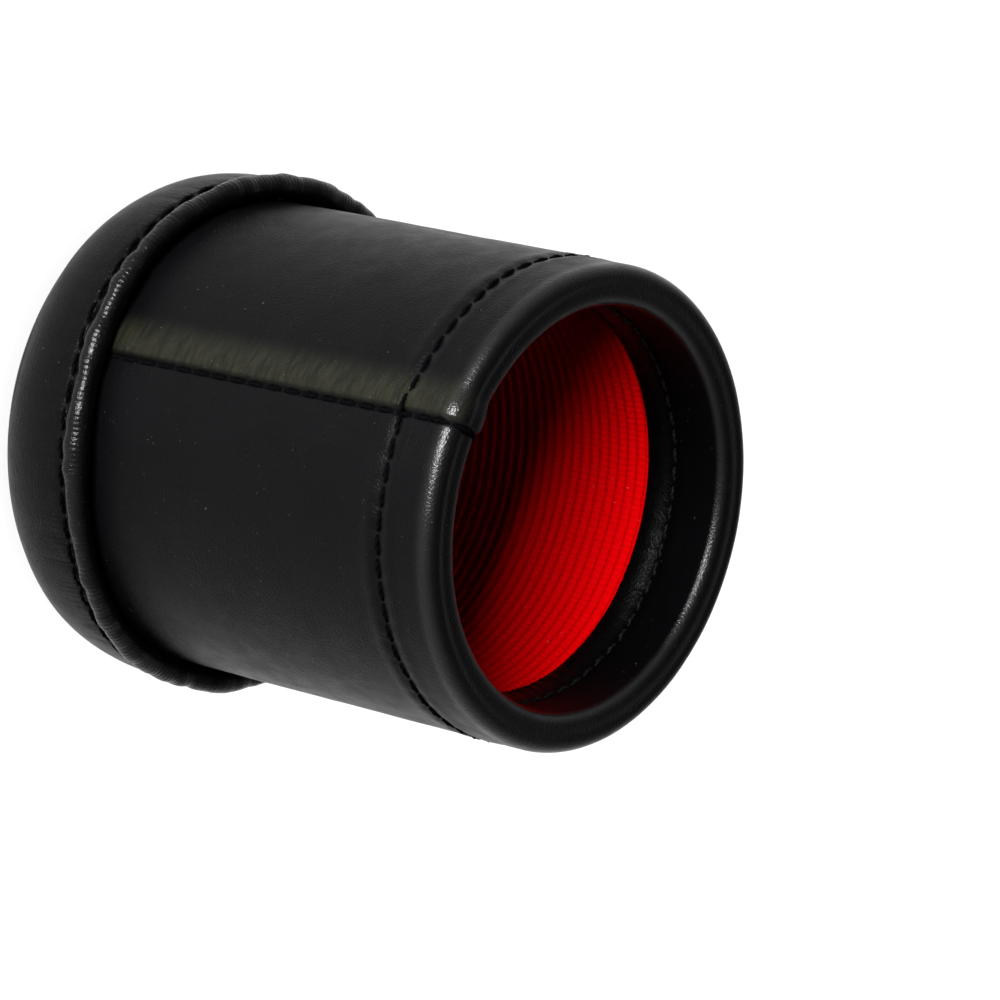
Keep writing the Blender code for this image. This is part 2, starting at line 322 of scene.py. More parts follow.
def leatherFinish(name, look):
    material, tree, shader, place = startMaterial(name, look["roughness"], look["specular"])
    # pebbled grain: small cells between fine creases, over a softer swell
    cells = putNode(tree, "ShaderNodeTexVoronoi", {"Vector": place, "Scale": look["grainScale"]},
                    feature="DISTANCE_TO_EDGE").outputs["Distance"]
    creases = remap(tree, cells, 0.0, 0.22, 0.0, 1.0)
    fine = noise(tree, place, look["grainScale"] * 1.8, 3)
    swell = noise(tree, place, look["swellScale"], 2)
    grain = plus(tree, times(tree, creases, 0.6), times(tree, fine, 0.4))
    skin = bump(tree, swell, look["swellDepth"])
    # creases across every row of stitches, where the leather is gathered
    flat = putNode(tree, "ShaderNodeVectorMath", {0: place, 1: (1, 1, 0)}, operation="MULTIPLY").outputs[0]
    spoke = putNode(tree, "ShaderNodeVectorMath", {0: flat}, operation="NORMALIZE").outputs[0]
    gathers = times(tree, noise(tree, spoke, look["gatherScale"], 2), painted(tree, "pull"))
    skin = bump(tree, gathers, look["gatherDepth"], 1.0, skin)
    # fine even crimps across the rubbed crest, where the skin is drawn over a cord
    sides = putNode(tree, "ShaderNodeSeparateXYZ", {0: place}).outputs
    turn = times(tree, sums(tree, "ARCTAN2", sides[1], sides[0]), look["crimps"])
    drift = times(tree, noise(tree, place, 260, 2), 6.0)
    crimps = sums(tree, "SINE", plus(tree, turn, drift))
    crimps = times(tree, crimps, painted(tree, "rub"))
    skin = bump(tree, crimps, look["crimpDepth"], 1.0, skin)
    # stretch marks across the lap of the seam
    streaks = noise(tree, place, 1000, 2, 0.5, look["streakStretch"])
    streaks = times(tree, streaks, painted(tree, "lap"))
    skin = bump(tree, streaks, look["streakDepth"], 1.0, skin)
    worn = remap(tree, painted(tree, "rub"), 0.0, 1.0, 1.0, 0.8)
    skin = bump(tree, times(tree, grain, worn), look["grainDepth"], 1.0, skin)
    tree.links.new(skin, shader.inputs["Normal"])
    # colour: uneven dye, a lighter and browner lap that is painted sheen where the raised lap catches the
    # light, rubbed edges and a few specks of lint
    cloudy = noise(tree, place, 90, 3)
    colour = blendColour(tree, cloudy, look["dark"], look["light"])
    # painted sheen: the lap is painted lighter in streaky patches, standing in for the light its raised band
    # catches
    patches = remap(tree, noise(tree, place, 900, 3, 0.6, look["streakStretch"]), 0.36, 0.64, 0.45, 1.0)
    colour = blendColour(tree, times(tree, painted(tree, "lap"), patches), colour, look["lapSheenColour"])
    colour = blendColour(tree, times(tree, painted(tree, "rub"), 0.5), colour, look["rubbed"])
    lint = remap(tree, noise(tree, place, 1700, 1), 0.765, 0.80, 0.0, look["lint"])
    colour = blendColour(tree, lint, colour, (0.16, 0.155, 0.15))
    tree.links.new(colour, shader.inputs["Base Color"])
    # roughness: patchy, smoother where it is rubbed
    patchy = remap(tree, noise(tree, place, 240, 4), 0.3, 0.7,
                   look["roughness"] - 0.05, look["roughness"] + 0.07)
    patchy = minus(tree, patchy, times(tree, painted(tree, "rub"), look["polish"]))
    tree.links.new(patchy, shader.inputs["Roughness"])
    shine = remap(tree, painted(tree, "rub"), 0.0, 1.0, look["specular"], look["shine"])
    dull = remap(tree, painted(tree, "dull"), 0.0, 1.0, 1.0, 0.12)
    tree.links.new(times(tree, shine, dull), shader.inputs["Specular IOR Level"])
    return material


bodyLeatherLook = {
    "roughness": 0.36, "specular": 0.052, "shine": 0.3, "grainScale": 1500, "grainDepth": 0.045 * mm,
    "swellScale": 160, "swellDepth": 0.026 * mm, "streakStretch": (0.26, 0.26, 1.15),
    "streakDepth": 0.22 * mm, "gatherScale": 52, "gatherDepth": 0.1 * mm,
    "dark": (0.001, 0.001, 0.0012), "light": (0.0018, 0.0018, 0.0022),
    # the lap colour is painted sheen: a lighter, browner tone for the light the raised lap catches
    "lapSheenColour": (0.0116, 0.0118, 0.0072), "rubbed": (0.0016, 0.0016, 0.002),
    "lint": 0.25, "polish": 0.05, "crimps": 0.0, "crimpDepth": 0.001 * mm,
}
bootLeatherLook = dict(bodyLeatherLook, specular=0.062, shine=0.17, gatherScale=60,
                       gatherDepth=0.42 * mm, dark=(0.0005, 0.0005, 0.0007), light=(0.001, 0.001, 0.0013),
                       polish=0.12, crimps=330.0, crimpDepth=0.018 * mm)
soleLeatherLook = dict(bodyLeatherLook, roughness=0.62, grainScale=900, grainDepth=0.08 * mm)

print("finishes")
bodyLeather = leatherFinish("bodyLeather", bodyLeatherLook)
bootLeather = leatherFinish("bootLeather", bootLeatherLook)
soleLeather = leatherFinish("soleLeather", soleLeatherLook)


def clothFinish(name, look, wrapped):
    # wefts cross the ribs: round the axis on the sleeve, and straight over on the disc
    material, tree, shader, place = startMaterial(name, look["roughness"], look["specular"])
    x, y, z = putNode(tree, "ShaderNodeSeparateXYZ", {0: place}).outputs
    around = times(tree, sums(tree, "ARCTAN2", y, x), look["wefts"])
    way = around if wrapped else times(tree, y, look["wefts"] / liningHigh.x)
    way = plus(tree, way, times(tree, noise(tree, place, 160, 2), look["weftWander"]))
    wefts = plus(tree, times(tree, sums(tree, "SINE", way), 0.5), 0.5)
    fibres = noise(tree, place, look["fibreScale"], 5, 0.7)
    nap = noise(tree, place, 700, 3)
    weave = bump(tree, fibres, look["fibreDepth"])
    weave = bump(tree, wefts, look["weftDepth"], 1.0, weave)
    tree.links.new(bump(tree, nap, look["napDepth"], 1.0, weave), shader.inputs["Normal"])
    shade = times(tree, remap(tree, fibres, 0.3, 0.7, 0, 1), 0.85)
    shade = plus(tree, shade, times(tree, wefts, 0.15))
    colour = blendColour(tree, shade, look["dark"], look["light"])
    lint = remap(tree, noise(tree, place, 1500, 1), 0.76, 0.80, 0.0, look["lint"])
    colour = blendColour(tree, lint, colour, (0.75, 0.25, 0.2))
    tree.links.new(colour, shader.inputs["Base Color"])
    return material


redClothLook = {
    "roughness": 0.85, "specular": 0.01, "fibreScale": 3800, "fibreDepth": 0.08 * mm,
    "napDepth": 0.06 * mm, "wefts": 210, "weftDepth": 0.045 * mm, "weftWander": 7.0,
    "dark": (0.15, 0.0, 0.0003), "light": (0.28, 0.0002, 0.0007), "lint": 0.08,
}
redCloth = clothFinish("redCloth", redClothLook, True)
redDisc = clothFinish("redDisc", redClothLook, False)


def threadFinish(name, look):
    material, tree, shader, place = startMaterial(name, look["roughness"], look["specular"])
    fibres = noise(tree, place, 5200, 3)
    tree.links.new(bump(tree, fibres, look["fibreDepth"]), shader.inputs["Normal"])
    tree.links.new(blendColour(tree, fibres, look["dark"], look["light"]), shader.inputs["Base Color"])
    return material


blackThread = threadFinish("blackThread", {
    "roughness": 0.7, "specular": 0.006, "fibreDepth": 0.05 * mm, "dark": (0.0008, 0.0008, 0.001),
    "light": (0.0022, 0.0022, 0.0026)})
bobbinThread = threadFinish("bobbinThread", {
    "roughness": 0.5, "specular": 0.08, "fibreDepth": 0.06 * mm, "dark": (0.001, 0.001, 0.0012),
    "light": (0.009, 0.009, 0.01)})
cottonCord = threadFinish("cottonCord", {
    "roughness": 0.9, "specular": 0.2, "fibreDepth": 0.1 * mm, "dark": (0.55, 0.52, 0.43),
    "light": (0.75, 0.72, 0.63)})


def boardFinish(name, look):
    material, tree, shader, place = startMaterial(name, 0.88, 0.2)
    pulp = noise(tree, place, look["pulpScale"], 5, 0.65)
    flecks = remap(tree, noise(tree, place, 1300, 2), 0.62, 0.75, 0, 0.6)
    colour = blendColour(tree, pulp, look["dark"], look["light"])
    tree.links.new(blendColour(tree, flecks, colour, look["fleck"]), shader.inputs["Base Color"])
    tree.links.new(bump(tree, pulp, look["depth"]), shader.inputs["Normal"])
    return material


tubeBoard = boardFinish("tubeBoard", {
    "pulpScale": 420, "depth": 0.15 * mm, "dark": (0.25, 0.17, 0.10), "light": (0.42, 0.31, 0.20),
    "fleck": (0.12, 0.08, 0.05)})
paddingFoam = boardFinish("paddingFoam", {
    "pulpScale": 900, "depth": 0.4 * mm, "dark": (0.6, 0.57, 0.45), "light": (0.8, 0.77, 0.66),
    "fleck": (0.45, 0.42, 0.33)})


# The side seam: one edge of the body leather laps over the other, and a row of stitches
# holds it down in the valley beside the lap

seamPlan = {
    "angle": math.atan2(seamRowLow.y, seamRowHigh.x),  # where the row of stitches stands
    "lean": math.radians(-1.07) / (60 * mm),  # the hand-set seam leans a little
    "leanFrom": 60 * mm,
    "lapHeight": 0.72 * mm,
    "crestFrom": 1.25 * mm,
    "lapFrom": 2.3 * mm,
    "lapTo": 6.8 * mm,
    "valley": 0.36 * mm,
    "valleyWidth": 0.42 * mm,
}


def seamAngle(height):
    return seamPlan["angle"] + seamPlan["lean"] * (height - seamPlan["leanFrom"])


def acrossSeam(radius, height, turn):
    # distance round the cup from the stitches, positive over the lap
    apart = np.remainder(seamAngle(height) - turn + math.pi, fullTurn) - math.pi
    return apart * radius


def seamLift(across):
    rise = smoothStep(0.0, seamPlan["crestFrom"], across)
    fall = 1 - smoothStep(seamPlan["lapFrom"], seamPlan["lapTo"], across)
    return (seamPlan["lapHeight"] * rise * fall
            - seamPlan["valley"] * bellCurve(across, seamPlan["valleyWidth"]))


def seamColumns(coarse, fine, reach):
    # angles round the cup, closer together beside the seam
    middle = seamPlan["angle"]
    near = np.arange(-reach, reach + fine / 2, fine)
    far = np.linspace(reach, fullTurn - reach, round((fullTurn - 2 * reach) / coarse) + 1)[1:-1]
    return middle + np.r_[near, far]


# Body leather: up inside the mouth, over the rim and down the wall into the boot

bodyPlan = {
    "mouthRadius": bandRowHigh.x + 0.3 * mm,
    "thickness": 1.15 * mm,
    "bandFoot": wrapHigh.z - 17.25 * mm,
    "rimTop": wrapHigh.z - 0.3 * mm,
    "outerRound": 2.6 * mm,
    "innerRound": 2.3 * mm,
    "rimSlump": 0.16 * mm,
    "rowGroove": 0.32 * mm,
    "rowGrooveWidth": 1.1 * mm,
    "rowPillow": 0.12 * mm,
    "wander": 0.035 * mm,
    "bandBulge": 0.5 * mm,
    "crimps": 0.16 * mm,
    "coarseTurn": math.radians(0.76),
    "fineTurn": math.radians(0.26),
    "fineReach": math.radians(11),
}
rimRow = {"height": rimRowLow.z * 0.5 + rimRowHigh.z * 0.5 - 0.2 * mm, "count": 64, "phase": 0.856}
bandRow = {"height": rimRow["height"] + 0.4 * mm, "count": 64, "phase": 0.96}


def bodySkin():
    plan = bodyPlan
    mouth, top, foot = plan["mouthRadius"], plan["rimTop"], plan["bandFoot"]
    outer = (bodyRadius - plan["outerRound"], top - plan["outerRound"])
    inner = (mouth + plan["innerRound"], top - 0.08 * mm - plan["innerRound"])
    tuck = mouth + 0.5 * mm
    edge = roundArc((tuck, foot + 0.5 * mm), 0.5 * mm, 270, 180, 0.16 * mm)
    band = straight((mouth, foot + 0.5 * mm), (mouth, inner[1]), 0.5 * mm)
    lip = roundArc(inner, plan["innerRound"], 180, 96, 0.3 * mm)
    shoulder = roundArc(outer, plan["outerRound"], 90, 0, 0.3 * mm)
    face = straight(lip[-1], shoulder[0], 0.4 * mm)
    aboveRow = straight(shoulder[-1], (bodyRadius, rimRow["height"] - 4 * mm), 0.42 * mm)
    wall = straight(aboveRow[-1], (bodyRadius, bootHigh.z + 2 * mm), 1.35 * mm)
    hidden = straight(wall[-1], (bodyRadius, wrapLow.z), 2.5 * mm)
    return joinRuns(edge, band, lip, face, shoulder, aboveRow, wall, hidden)


def bodyOutline():
    skin = bodySkin()
    plan = bodyPlan
    back = bodyRadius - plan["thickness"]
    under = tubeHigh.z + 0.3 * mm
    inside = plan["mouthRadius"] + plan["thickness"]
    hidden = joinRuns(
        straight((back, wrapLow.z), (back, under), 9 * mm),
        straight((back, under), (inside, under), 1.2 * mm),
        straight((inside, under), (inside, plan["bandFoot"]), 3 * mm),
    )
    return skin, np.vstack([skin, hidden[:-1]])


def makeBodyLeather():
    plan = bodyPlan
    skin, outline = bodyOutline()
    radius, height = outline[:, 0], outline[:, 1]
    onSkin = np.arange(len(outline)) < len(skin)
    outside = onSkin & (radius > bodyRadius - 0.01 * mm)
    inside = onSkin & (radius < plan["mouthRadius"] + 0.01 * mm)
    fromRow = np.where(outside, height - rimRow["height"], 1)
    fromBandRow = np.where(inside, height - bandRow["height"], 1)
    visible = onSkin & (height > bootHigh.z - 3 * mm)
    rimMiddle = (plan["mouthRadius"] + bodyRadius) / 2 + 0.2 * mm
    onRim = onSkin & (height > plan["rimTop"] - 1 * mm)
    bandFoot = np.where(inside, height - plan["bandFoot"], 1)
    columns = seamColumns(plan["coarseTurn"], plan["fineTurn"], plan["fineReach"])

    def relief(rows, turn):
        r, z = radius[rows], height[rows]
        lift = seamLift(acrossSeam(r, z, turn)) * visible[rows]
        # the rows of stitches pull a groove, with soft swellings beside it
        for apart in (fromRow[rows], fromBandRow[rows]):
            lift = lift - plan["rowGroove"] * bellCurve(apart, plan["rowGrooveWidth"])
            lift = lift + plan["rowPillow"] * bellCurve(np.abs(apart) - 2.2 * mm, 1.3 * mm)
        # the face of the rim sinks a little between its two edges
        lift = lift - plan["rimSlump"] * bellCurve(r - rimMiddle, 0.8 * mm) * onRim[rows]
        # the leather isn't quite even over the board
        lift = lift + plan["wander"] * softNoise(turn, z, 11, 26 * mm) * visible[rows]
        lift = lift + 0.4 * plan["wander"] * softNoise(turn, z, 12, 9 * mm) * visible[rows]
        # below its stitches the turned-in leather is loose, and crimps where it crowds
        lift = lift + plan["bandBulge"] * bellCurve(bandFoot[rows] - 1.9 * mm, 2.1 * mm) * inside[rows]
        crimp = np.abs(softNoise(turn, z * 0.15, 13, 2.2 * mm, 22))
        crowd = bellCurve(bandFoot[rows], 4.5 * mm) * smoothStep(-0.6, 0.8, softNoise(turn, 0, 14, 22 * mm))
        return lift + plan["crimps"] * crimp * crowd

    # marks the lap of the seam, which gets stretch-mark bumps and a painted sheen in its colour
    def lapMask(rows, turn):
        across = acrossSeam(radius[rows], height[rows], turn)
        spread = smoothStep(0.3 * mm, 1.5 * mm, across) * (1 - smoothStep(3.6 * mm, 9 * mm, across))
        return spread * smoothStep(bodyRadius - 2 * mm, bodyRadius - 0.4 * mm, radius[rows]) * onSkin[rows]

    def rubMask(rows, turn):
        r, z = radius[rows], height[rows]
        outer = bellCurve(np.hypot(r - bodyRadius + 0.3 * mm, z - plan["rimTop"] + 1.4 * mm), 1.3 * mm)
        fromLip = np.hypot(r - plan["mouthRadius"] - 0.3 * mm, z - plan["rimTop"] + 0.9 * mm)
        inner = bellCurve(fromLip, 0.9 * mm)
        band = 0.25 * inside[rows]
        return np.clip(outer + inner + band, 0, 1) * onSkin[rows]

    def pullMask(rows, turn):
        return bellCurve(fromRow[rows], 2.0 * mm) + 0.6 * bellCurve(fromBandRow[rows], 2.0 * mm)

    def dullMask(rows, turn):
        # the turned-in leather is matt between its lip and the bulge below its stitches
        above = smoothStep(plan["bandFoot"] + 3 * mm, plan["bandFoot"] + 6 * mm, height[rows])
        return above * (radius[rows] < plan["mouthRadius"] + 0.04 * mm) * onSkin[rows] + 0 * turn

    body = turnRound("body_leather", outline, columns, relief,
                     {"lap": lapMask, "rub": rubMask, "pull": pullMask, "dull": dullMask})
    runTree(body, pucker, {"Count": rimRow["count"], "Phase": rimRow["phase"], "Depth": 0.16 * mm,
                           "Sharpness": 0.7, "Unevenness": 0.6, "Seed": 3.0, "Material": bodyLeather})
    return dress(body, bodyLeather, "body_leather", "body_wrap")


# Puckers: leather pulled in at every needle hole of a row round the cup, and swelling between

def puckerTree():
    sizes = {"Count": 1, "Phase": 0.0, "Depth": 0.0, "Sharpness": 0.0, "Unevenness": 0.0,
             "Seed": 0.0, "Material": bodyLeather}
    tree, given = startTree("pucker", sizes)
    place = putNode(tree, "GeometryNodeInputPosition").outputs[0]
    x, y, z = putNode(tree, "ShaderNodeSeparateXYZ", {0: place}).outputs
    turn = sums(tree, "ARCTAN2", y, x)
    perTurn = sums(tree, "DIVIDE", given["Count"], fullTurn)
    holes = plus(tree, times(tree, turn, perTurn), given["Phase"])
    wave = sums(tree, "ABSOLUTE", sums(tree, "SINE", times(tree, holes, math.pi)))
    swell = minus(tree, sums(tree, "POWER", wave, given["Sharpness"]), 0.72)
    rough = putNode(tree, "ShaderNodeTexNoise", {"Vector": place, "W": given["Seed"], "Scale": 130.0,
                                                 "Detail": 1.0}, noise_dimensions="4D").outputs[0]
    amount = times(tree, given["Unevenness"], 4.0)
    uneven = plus(tree, 1.0, times(tree, minus(tree, rough, 0.5), amount))
    pull = putNode(tree, "GeometryNodeInputNamedAttribute", {"Name": "pull"}, data_type="FLOAT").outputs[0]
    shift = times(tree, times(tree, swell, uneven), times(tree, pull, given["Depth"]))
    normal = putNode(tree, "GeometryNodeInputNormal").outputs[0]
    offset = putNode(tree, "ShaderNodeVectorMath", {0: normal, "Scale": shift}, operation="SCALE").outputs[0]
    moved = putNode(tree, "GeometryNodeSetPosition", {"Geometry": given["Geometry"], "Offset": offset})
    endTree(tree, moved.outputs[0], given["Material"])
    return tree


pucker = puckerTree()
print("body leather")
makeBodyLeather()


# Boot leather: the hem, the rolled edge, the stitched side and the rounding under the foot

bootPlan = {
    "radius": 45.0 * mm,
    "shoulder": 18.4 * mm,
    "roundReach": 13.0 * mm,
    "fullness": 2.35,
    "turnUnder": 24.0 * mm,
    "thickness": 1.2 * mm,
    "beadRound": 2.0 * mm,
    "beadDrop": 0.05 * mm,
    "sway": 1.0 * mm,
    "swayTurn": math.radians(-55),
    "hemThickness": 0.9 * mm,
    "hemFoot": 18.0 * mm,
    "columns": 560,
    "lumps": 0.28 * mm,
    "pleats": 0.12 * mm,
    "wander": 0.12 * mm,
}
bootRow = {"height": bootRowLow.z * 0.5 + bootRowHigh.z * 0.5 + 0.1 * mm, "count": 58, "phase": 0.0,
           "radius": 44.6 * mm}
beadCentre = (beadReach - bootPlan["beadRound"], cordLow.z * 0.5 + cordHigh.z * 0.5 - bootPlan["beadDrop"])


def hemSway(height, turn):
    # the hem isn't sewn on quite level: it rises and falls three times round the cup
    wave = bootPlan["sway"] * np.cos(3 * (turn - bootPlan["swayTurn"]))
    return wave * smoothStep(bootPlan["hemFoot"], bootPlan["hemFoot"] + 3.2 * mm, height)


def bootSkin():
    plan = bootPlan
    hemInside = bodyRadius + 0.3 * mm
    underside = bootLow.z
    flat = plan["radius"] - plan["roundReach"]
    hem = straight((hemInside, plan["hemFoot"]), (hemInside, beadCentre[1] - 2 * mm), 1.5 * mm)
    bead = roundArc(beadCentre, plan["beadRound"], 180, -35, 0.3 * mm)
    side = flowThrough([bead[-1], (bootRow["radius"] + 0.28 * mm, bootRow["height"] + 1.0 * mm),
                        (bootRow["radius"], bootRow["height"]),
                        (bootRow["radius"] + 0.3 * mm, bootRow["height"] - 1.1 * mm),
                        (plan["radius"], plan["shoulder"])], 0.32 * mm)
    rounding = roundArc((flat, plan["shoulder"]), (plan["roundReach"], plan["shoulder"] - underside),
                        0, -90, 0.62 * mm, plan["fullness"])
    under = straight((flat, underside), (plan["turnUnder"], underside), 1 * mm)
    return joinRuns(hem, flowThrough([hem[-1], bead[0]], 0.5 * mm), bead, side, rounding, under)


def bootOutline():
    plan = bootPlan
    skin = bootSkin()
    flat = plan["radius"] - plan["roundReach"]
    t = plan["thickness"]
    rise = plan["shoulder"] - bootLow.z
    back = joinRuns(
        straight((plan["turnUnder"], bootLow.z + t), (flat, bootLow.z + t), 2.5 * mm),
        roundArc((flat, plan["shoulder"]), (plan["roundReach"] - t, rise - t), -90, 0, 1.8 * mm,
                 plan["fullness"]),
        straight((plan["radius"] - t, plan["shoulder"]), (bootRow["radius"] - t, bootRow["height"]), 1 * mm),
        roundArc(beadCentre, plan["beadRound"] - plan["hemThickness"], -50, 180, 0.5 * mm),
        straight((bodyRadius + 0.3 * mm + plan["hemThickness"], beadCentre[1] - 2 * mm),
                 (bodyRadius + 0.3 * mm + plan["hemThickness"], plan["hemFoot"]), 1.5 * mm),
    )
    return skin, np.vstack([skin, back])


def makeBootLeather():
    plan = bootPlan
    skin, outline = bootOutline()
    radius, height = outline[:, 0], outline[:, 1]
    onSkin = np.arange(len(outline)) < len(skin)
    seen = onSkin & (radius > bodyRadius + 0.8 * mm)
    fromBead = np.hypot(radius - beadCentre[0], height - beadCentre[1])
    onBead = seen & (fromBead < plan["beadRound"] + 0.05 * mm)
    beadWeight = onBead * smoothStep(bodyRadius + 0.6 * mm, beadCentre[0], radius)
    below = np.where(seen, bootRow["height"] - height, -1 * mm)
    sideWeight = (below >= 0) * np.exp(-np.maximum(below, 0) / (3.2 * mm))
    pleatWeight = onSkin * (height < 6 * mm) * smoothStep(40 * mm, 32 * mm, radius)
    wanderWeight = seen * smoothStep(bootLow.z, 6 * mm, height)

    def relief(rows, turn):
        z = height[rows]
        lumps = softNoise(turn, z * 0, 21, 9 * mm, 18)
        fine = softNoise(turn, z * 0.5, 22, 3.2 * mm, 20)
        lift = plan["lumps"] * (0.8 * lumps + 0.25 * fine) * beadWeight[rows]
        lift = lift + plan["wander"] * softNoise(turn, z, 23, 24 * mm) * wanderWeight[rows]
        lift = lift + 0.05 * mm * fine * sideWeight[rows]
        pleats = np.abs(softNoise(turn, z * 0, 24, 3.5 * mm, 16)) - 0.5
        return lift + plan["pleats"] * pleats * pleatWeight[rows]

    def pullMask(rows, turn):
        fromRow = np.hypot(radius - bootRow["radius"], height - bootRow["height"])
        towardRow = bellCurve(fromRow, 3.6 * mm)[rows]
        return beadWeight[rows] * towardRow + 0.6 * sideWeight[rows] + 0 * turn

    def rubMask(rows, turn):
        crest = beadWeight[rows] * bellCurve(radius[rows] - beadReach + 0.3 * mm, 1.2 * mm)
        return crest + 0 * turn

    angles = np.arange(plan["columns"]) * fullTurn / plan["columns"]
    boot = turnRound("boot_leather", outline, angles, relief,
                     {"pull": pullMask, "rub": rubMask, "lap": unmarked, "dull": unmarked})
    places = np.empty(len(boot.data.vertices) * 3)
    boot.data.vertices.foreach_get("co", places)
    x, y, z = places.reshape(-1, 3).T
    places[2::3] += hemSway(z, np.arctan2(y, x))
    boot.data.vertices.foreach_set("co", places)
    runTree(boot, pucker, {"Count": bootRow["count"], "Phase": bootRow["phase"], "Depth": 0.34 * mm,
                           "Sharpness": 0.6, "Unevenness": 1.0, "Seed": 8.0, "Material": bootLeather})
    return dress(boot, bootLeather, "boot_leather", "boot_cover")


print("boot leather")
makeBootLeather()


# Stitches: short lengths of two-ply thread, set one after another along a line on the leather

def stitchTree():
    sizes = {"Spacing": 0.0, "Length": 0.0, "Thread": 0.0, "Dip": 0.0, "Twists": 0.0, "Slant": 0.0,
             "Seed": 1, "Material": blackThread}
    tree, given = startTree("stitches", sizes)
    line = putNode(tree, "GeometryNodeMeshToCurve", {"Mesh": given["Geometry"]}).outputs[0]
    spaced = putNode(tree, "GeometryNodeResampleCurve", {"Curve": line, "Length": given["Spacing"]},
                     mode="LENGTH").outputs[0]
    spots = putNode(tree, "GeometryNodeCurveToPoints", {"Curve": spaced}, mode="EVALUATED")
    outward = putNode(tree, "GeometryNodeInputNamedAttribute", {"Name": "outward"},
                      data_type="FLOAT_VECTOR").outputs[0]
    along = putNode(tree, "FunctionNodeAlignRotationToVector", {"Vector": spots.outputs["Tangent"]}, axis="X")
    upright = putNode(tree, "FunctionNodeAlignRotationToVector",
                      {"Rotation": along.outputs[0], "Vector": outward}, axis="Z", pivot_axis="X")
    # one stitch: a strand that bows up out of its two holes, with its plies twisted round it
    half = times(tree, given["Length"], 0.5)
    start = putNode(tree, "ShaderNodeCombineXYZ", {"X": times(tree, half, -1.0)}).outputs[0]
    end = putNode(tree, "ShaderNodeCombineXYZ", {"X": half}).outputs[0]
    strand = putNode(tree, "GeometryNodeCurvePrimitiveLine", {"Start": start, "End": end}).outputs[0]
    strand = putNode(tree, "GeometryNodeResampleCurve", {"Curve": strand, "Count": 8},
                     mode="COUNT").outputs[0]
    factor = putNode(tree, "GeometryNodeSplineParameter").outputs["Factor"]
    side = sums(tree, "ABSOLUTE", minus(tree, times(tree, factor, 2.0), 1.0))
    dip = times(tree, sums(tree, "POWER", side, 3.0), times(tree, given["Dip"], -1.0))
    bow = putNode(tree, "ShaderNodeCombineXYZ", {"Z": dip}).outputs[0]
    strand = putNode(tree, "GeometryNodeSetPosition", {"Geometry": strand, "Offset": bow}).outputs[0]
    thin = minus(tree, 1.0, times(tree, sums(tree, "POWER", side, 4.0), 0.4))
    strand = putNode(tree, "GeometryNodeSetCurveRadius", {"Curve": strand, "Radius": thin}).outputs[0]
    twist = times(tree, factor, times(tree, given["Twists"], fullTurn))
    strand = putNode(tree, "GeometryNodeSetCurveTilt", {"Curve": strand, "Tilt": twist}).outputs[0]
    ring = putNode(tree, "GeometryNodeCurvePrimitiveCircle",
                   {"Resolution": 8, "Radius": given["Thread"]}).outputs[0]
    plies = putNode(tree, "GeometryNodeSetPosition", {"Geometry": ring, "Offset": plyOffset(tree)}).outputs[0]
    stitch = putNode(tree, "GeometryNodeCurveToMesh", {"Curve": strand, "Profile Curve": plies,
                                                       "Fill Caps": True}).outputs[0]
    # every stitch lies a little differently
    lean = putNode(tree, "FunctionNodeRandomValue", {"Seed": given["Seed"]}, data_type="FLOAT")
    lean.inputs[2].default_value = -1
    lean.inputs[3].default_value = 1
    lean = times(tree, lean.outputs[1], given["Slant"])
    lean = plus(tree, lean, times(tree, given["Slant"], 0.9))
    turn = putNode(tree, "ShaderNodeCombineXYZ", {"Z": lean}).outputs[0]
    turn = putNode(tree, "FunctionNodeEulerToRotation", {0: turn}).outputs[0]
    turned = putNode(tree, "FunctionNodeRotateRotation",
                     {"Rotation": upright.outputs[0], "Rotate By": turn}, rotation_space="LOCAL").outputs[0]
    row = putNode(tree, "GeometryNodeInstanceOnPoints", {"Points": spots.outputs[0], "Instance": stitch,
                                                         "Rotation": turned}).outputs[0]
    endTree(tree, row, given["Material"])
    return tree


def plyOffset(tree):
    # pinches a round section at two sides, so that it reads as two plies
    place = putNode(tree, "GeometryNodeInputPosition").outputs[0]
    x, y, z = putNode(tree, "ShaderNodeSeparateXYZ", {0: place}).outputs
    pinch = {"X": times(tree, x, 0.1), "Y": times(tree, y, -0.3)}
    return putNode(tree, "ShaderNodeCombineXYZ", pinch).outputs[0]


stitches = stitchTree()


def stitchRow(name, points, outward, closed, thread, plan, *nodes):
    mesh = bpy.data.meshes.new(name)
    edges = [(i, i + 1) for i in range(len(points) - 1)] + ([(len(points) - 1, 0)] if closed else [])
    mesh.from_pydata(points.tolist(), edges, [])
    mesh.attributes.new("outward", "FLOAT_VECTOR", "POINT").data.foreach_set(
        "vector", outward.astype(np.float32).ravel())
    row = bpy.data.objects.new(name, mesh)
    bpy.context.scene.collection.objects.link(row)
    runTree(row, stitches, {**plan, "Material": thread})
    return dress(row, thread, "black_thread", *nodes)


def ringLine(row, radius, facing, sink, crossesSeam):
    # a line round the cup that climbs over the lap of the side seam, or sways with the hem
    steps = 720
    first = -(row["phase"] + 0.5) / row["count"] * fullTurn
    turn = first + np.arange(steps) * fullTurn / steps
    lift = seamLift(acrossSeam(radius, row["height"], turn)) if crossesSeam else 0 * turn
    wave = 0.16 * mm * softNoise(turn, 0, row["count"], 14 * mm)
    if not crossesSeam:
        wave = wave + hemSway(row["height"], turn)
    reach = radius + facing * (lift - sink)
    points = np.stack([reach * np.cos(turn), reach * np.sin(turn), row["height"] + wave], 1)
    outward = facing * np.stack([np.cos(turn), np.sin(turn), 0 * turn], 1)
    return points, outward


